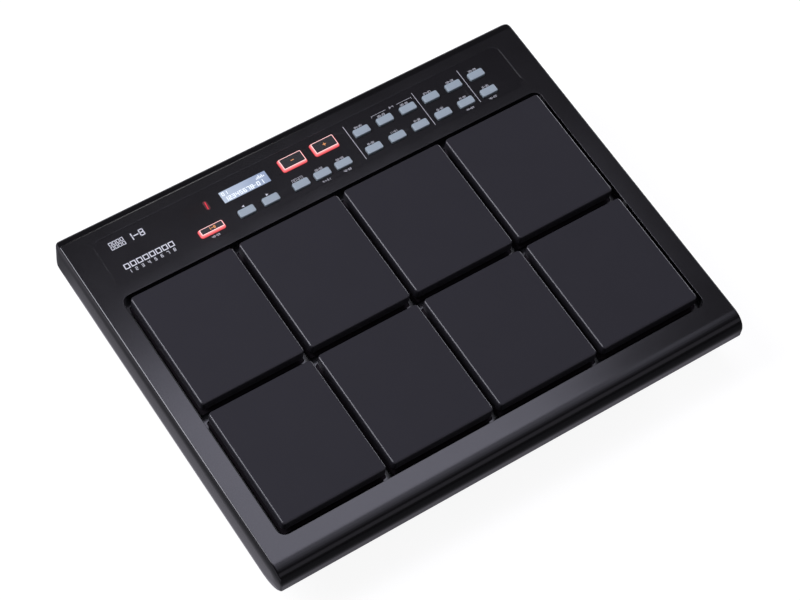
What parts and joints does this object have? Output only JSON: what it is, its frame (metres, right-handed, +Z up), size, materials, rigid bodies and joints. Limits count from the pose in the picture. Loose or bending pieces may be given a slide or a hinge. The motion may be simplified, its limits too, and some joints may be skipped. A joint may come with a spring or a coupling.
{
  "type": "electronic percussion pad",
  "caption": "Sloping black percussion pad: rubber pads in a framed well, a control strip with lit screen and keys behind them, and sockets under the rear edge.",
  "frame": {"origin": "on the table under the middle of the case's outline", "axes": "+X to the player's right, +Y towards the rear sockets, +Z up"},
  "size_m": [0.3708, 0.2904, 0.093],
  "materials": {
    "case_plastic": "satin black moulding",
    "painted_steel": "black paint on steel sheet",
    "control_sheet": "fine matt printed sheet",
    "screen": "lit pale screen",
    "digits": "dark red window",
    "circuit_board": "green solder mask",
    "foam": "black open foam",
    "brass": "turned brass",
    "socket_plastic": "black moulding",
    "bright_metal": "nickel plate",
    "dark_metal": "black zinc",
    "foot_rubber": "soft black rubber",
    "knob_plastic": "satin black moulding",
    "pad_rubber": "matt dark grey rubber",
    "plate_steel": "zinc plate",
    "lit_plastic": "glowing red rim, black top",
    "key_plastic": "satin blue-grey moulding"
  },
  "bodies": {
    "case": {"top_shell": "case_plastic", "bottom_shell": "case_plastic", "rear_panel": "painted_steel", "control_panel": "control_sheet", "screen_module": "screen", "digit_module": "digits", "panel_board": "circuit_board", "main_board": "circuit_board", "pad_tray": "painted_steel", "pad_foams": "foam", "sensor_discs": "brass", "phone_jacks": "socket_plastic", "panel_nuts": "bright_metal", "round_sockets": "socket_plastic", "data_socket": "bright_metal", "power_inlet": "socket_plastic", "power_switch": "socket_plastic", "volume_pot": "bright_metal", "feet": "foot_rubber", "stand_inserts": "brass", "screws": "dark_metal"},
    "pad_1": {"pad_1": "pad_rubber", "pad_plate_1": "plate_steel"},
    "pad_2": {"pad_2": "pad_rubber", "pad_plate_2": "plate_steel"},
    "pad_3": {"pad_3": "pad_rubber", "pad_plate_3": "plate_steel"},
    "pad_4": {"pad_4": "pad_rubber", "pad_plate_4": "plate_steel"},
    "pad_5": {"pad_5": "pad_rubber", "pad_plate_5": "plate_steel"},
    "pad_6": {"pad_6": "pad_rubber", "pad_plate_6": "plate_steel"},
    "pad_7": {"pad_7": "pad_rubber", "pad_plate_7": "plate_steel"},
    "pad_8": {"pad_8": "pad_rubber", "pad_plate_8": "plate_steel"},
    "mode_button": {"mode_button": "lit_plastic"},
    "minus_button": {"minus_button": "lit_plastic"},
    "plus_button": {"plus_button": "lit_plastic"},
    "cursor_left_key": {"cursor_left_key": "key_plastic"},
    "cursor_right_key": {"cursor_right_key": "key_plastic"},
    "menu_key_1": {"menu_key_1": "key_plastic"},
    "menu_key_2": {"menu_key_2": "key_plastic"},
    "menu_key_3": {"menu_key_3": "key_plastic"},
    "rear_key_1": {"rear_key_1": "key_plastic"},
    "rear_key_2": {"rear_key_2": "key_plastic"},
    "rear_key_3": {"rear_key_3": "key_plastic"},
    "rear_key_4": {"rear_key_4": "key_plastic"},
    "rear_key_5": {"rear_key_5": "key_plastic"},
    "rear_key_6": {"rear_key_6": "key_plastic"},
    "front_key_1": {"front_key_1": "key_plastic"},
    "front_key_2": {"front_key_2": "key_plastic"},
    "front_key_3": {"front_key_3": "key_plastic"},
    "front_key_4": {"front_key_4": "key_plastic"},
    "front_key_5": {"front_key_5": "key_plastic"},
    "front_key_6": {"front_key_6": "key_plastic"},
    "power_button": {"power_button": "knob_plastic"},
    "volume_knob": {"volume_knob": "knob_plastic", "volume_shaft": "bright_metal"}
  },
  "joints": [
    {"name": "pad_1_press", "type": "slide", "parent": "case", "child": "pad_1", "axis": [0, -0.153, 0.9882], "range_m": [-0.0008, 0], "stiffness_N_per_m": 20000, "springref_m": 0.0003, "deforming": ["pad_foams"]},
    {"name": "pad_2_press", "type": "slide", "parent": "case", "child": "pad_2", "axis": [0, -0.153, 0.9882], "range_m": [-0.0008, 0], "stiffness_N_per_m": 20000, "springref_m": 0.0003},
    {"name": "pad_3_press", "type": "slide", "parent": "case", "child": "pad_3", "axis": [0, -0.153, 0.9882], "range_m": [-0.0008, 0], "stiffness_N_per_m": 20000, "springref_m": 0.0003},
    {"name": "pad_4_press", "type": "slide", "parent": "case", "child": "pad_4", "axis": [0, -0.153, 0.9882], "range_m": [-0.0008, 0], "stiffness_N_per_m": 20000, "springref_m": 0.0003},
    {"name": "pad_5_press", "type": "slide", "parent": "case", "child": "pad_5", "axis": [0, -0.153, 0.9882], "range_m": [-0.0008, 0], "stiffness_N_per_m": 20000, "springref_m": 0.0003},
    {"name": "pad_6_press", "type": "slide", "parent": "case", "child": "pad_6", "axis": [0, -0.153, 0.9882], "range_m": [-0.0008, 0], "stiffness_N_per_m": 20000, "springref_m": 0.0003},
    {"name": "pad_7_press", "type": "slide", "parent": "case", "child": "pad_7", "axis": [0, -0.153, 0.9882], "range_m": [-0.0008, 0], "stiffness_N_per_m": 20000, "springref_m": 0.0003},
    {"name": "pad_8_press", "type": "slide", "parent": "case", "child": "pad_8", "axis": [0, -0.153, 0.9882], "range_m": [-0.0008, 0], "stiffness_N_per_m": 20000, "springref_m": 0.0003},
    {"name": "mode_button_press", "type": "slide", "parent": "case", "child": "mode_button", "axis": [0, -0.153, 0.9882], "range_m": [-0.0005, 0], "stiffness_N_per_m": 2000, "springref_m": 0.0003},
    {"name": "minus_button_press", "type": "slide", "parent": "case", "child": "minus_button", "axis": [0, -0.153, 0.9882], "range_m": [-0.0005, 0], "stiffness_N_per_m": 2000, "springref_m": 0.0003},
    {"name": "plus_button_press", "type": "slide", "parent": "case", "child": "plus_button", "axis": [0, -0.153, 0.9882], "range_m": [-0.0005, 0], "stiffness_N_per_m": 2000, "springref_m": 0.0003},
    {"name": "cursor_left_key_press", "type": "slide", "parent": "case", "child": "cursor_left_key", "axis": [0, -0.153, 0.9882], "range_m": [-0.0005, 0], "stiffness_N_per_m": 2000, "springref_m": 0.0003},
    {"name": "cursor_right_key_press", "type": "slide", "parent": "case", "child": "cursor_right_key", "axis": [0, -0.153, 0.9882], "range_m": [-0.0005, 0], "stiffness_N_per_m": 2000, "springref_m": 0.0003},
    {"name": "menu_key_1_press", "type": "slide", "parent": "case", "child": "menu_key_1", "axis": [0, -0.153, 0.9882], "range_m": [-0.0005, 0], "stiffness_N_per_m": 2000, "springref_m": 0.0003},
    {"name": "menu_key_2_press", "type": "slide", "parent": "case", "child": "menu_key_2", "axis": [0, -0.153, 0.9882], "range_m": [-0.0005, 0], "stiffness_N_per_m": 2000, "springref_m": 0.0003},
    {"name": "menu_key_3_press", "type": "slide", "parent": "case", "child": "menu_key_3", "axis": [0, -0.153, 0.9882], "range_m": [-0.0005, 0], "stiffness_N_per_m": 2000, "springref_m": 0.0003},
    {"name": "rear_key_1_press", "type": "slide", "parent": "case", "child": "rear_key_1", "axis": [0, -0.153, 0.9882], "range_m": [-0.0005, 0], "stiffness_N_per_m": 2000, "springref_m": 0.0003},
    {"name": "rear_key_2_press", "type": "slide", "parent": "case", "child": "rear_key_2", "axis": [0, -0.153, 0.9882], "range_m": [-0.0005, 0], "stiffness_N_per_m": 2000, "springref_m": 0.0003},
    {"name": "rear_key_3_press", "type": "slide", "parent": "case", "child": "rear_key_3", "axis": [0, -0.153, 0.9882], "range_m": [-0.0005, 0], "stiffness_N_per_m": 2000, "springref_m": 0.0003},
    {"name": "rear_key_4_press", "type": "slide", "parent": "case", "child": "rear_key_4", "axis": [0, -0.153, 0.9882], "range_m": [-0.0005, 0], "stiffness_N_per_m": 2000, "springref_m": 0.0003},
    {"name": "rear_key_5_press", "type": "slide", "parent": "case", "child": "rear_key_5", "axis": [0, -0.153, 0.9882], "range_m": [-0.0005, 0], "stiffness_N_per_m": 2000, "springref_m": 0.0003},
    {"name": "rear_key_6_press", "type": "slide", "parent": "case", "child": "rear_key_6", "axis": [0, -0.153, 0.9882], "range_m": [-0.0005, 0], "stiffness_N_per_m": 2000, "springref_m": 0.0003},
    {"name": "front_key_1_press", "type": "slide", "parent": "case", "child": "front_key_1", "axis": [0, -0.153, 0.9882], "range_m": [-0.0005, 0], "stiffness_N_per_m": 2000, "springref_m": 0.0003},
    {"name": "front_key_2_press", "type": "slide", "parent": "case", "child": "front_key_2", "axis": [0, -0.153, 0.9882], "range_m": [-0.0005, 0], "stiffness_N_per_m": 2000, "springref_m": 0.0003},
    {"name": "front_key_3_press", "type": "slide", "parent": "case", "child": "front_key_3", "axis": [0, -0.153, 0.9882], "range_m": [-0.0005, 0], "stiffness_N_per_m": 2000, "springref_m": 0.0003},
    {"name": "front_key_4_press", "type": "slide", "parent": "case", "child": "front_key_4", "axis": [0, -0.153, 0.9882], "range_m": [-0.0005, 0], "stiffness_N_per_m": 2000, "springref_m": 0.0003},
    {"name": "front_key_5_press", "type": "slide", "parent": "case", "child": "front_key_5", "axis": [0, -0.153, 0.9882], "range_m": [-0.0005, 0], "stiffness_N_per_m": 2000, "springref_m": 0.0003},
    {"name": "front_key_6_press", "type": "slide", "parent": "case", "child": "front_key_6", "axis": [0, -0.153, 0.9882], "range_m": [-0.0005, 0], "stiffness_N_per_m": 2000, "springref_m": 0.0003},
    {"name": "power_press", "type": "slide", "parent": "case", "child": "power_button", "axis": [0, 1, 0], "range_m": [-0.003, 0], "stiffness_N_per_m": 800, "springref_m": 0.001},
    {"name": "volume_turn", "type": "hinge", "parent": "case", "child": "volume_knob", "pos_m": [-0.126, 0.12856, 0.0318], "axis": [0, 1, 0], "range_deg": [-150, 150]}
  ]
}
